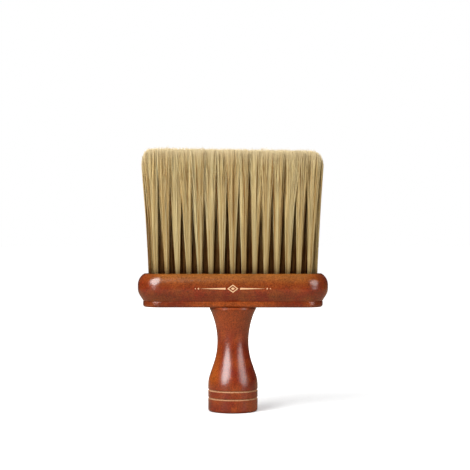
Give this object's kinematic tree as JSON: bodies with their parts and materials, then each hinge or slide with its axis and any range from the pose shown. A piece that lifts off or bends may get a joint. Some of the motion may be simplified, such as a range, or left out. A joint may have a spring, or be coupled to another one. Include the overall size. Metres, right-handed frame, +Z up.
{
  "type": "neck duster brush",
  "caption": "Flat salon neck duster with a bulged wooden head full of staggered light brown fibre tufts and a short turned wooden handle that stands on its flat end.",
  "frame": {"origin": "centre of the handle's flat end face, on which the brush stands", "axes": "+Z up from the handle's end towards the bristle tips, X along the wide head, -Y the front"},
  "size_m": [0.1272, 0.0332, 0.173],
  "materials": {
    "lacquered_wood": "gloss lacquer",
    "fibre": "matt natural fibre",
    "brass_wire": "drawn",
    "screw_steel": "plated"
  },
  "bodies": {
    "root": {"handle": "lacquered_wood", "back_board": "lacquered_wood", "tuft_block": "lacquered_wood", "tuft_row_front": "fibre", "tuft_row_2": "fibre", "tuft_row_middle": "fibre", "tuft_row_4": "fibre", "tuft_row_back": "fibre", "draw_wire_front": "brass_wire", "draw_wire_2": "brass_wire", "draw_wire_middle": "brass_wire", "draw_wire_4": "brass_wire", "draw_wire_back": "brass_wire", "handle_screws": "screw_steel"}
  },
  "joints": []
}
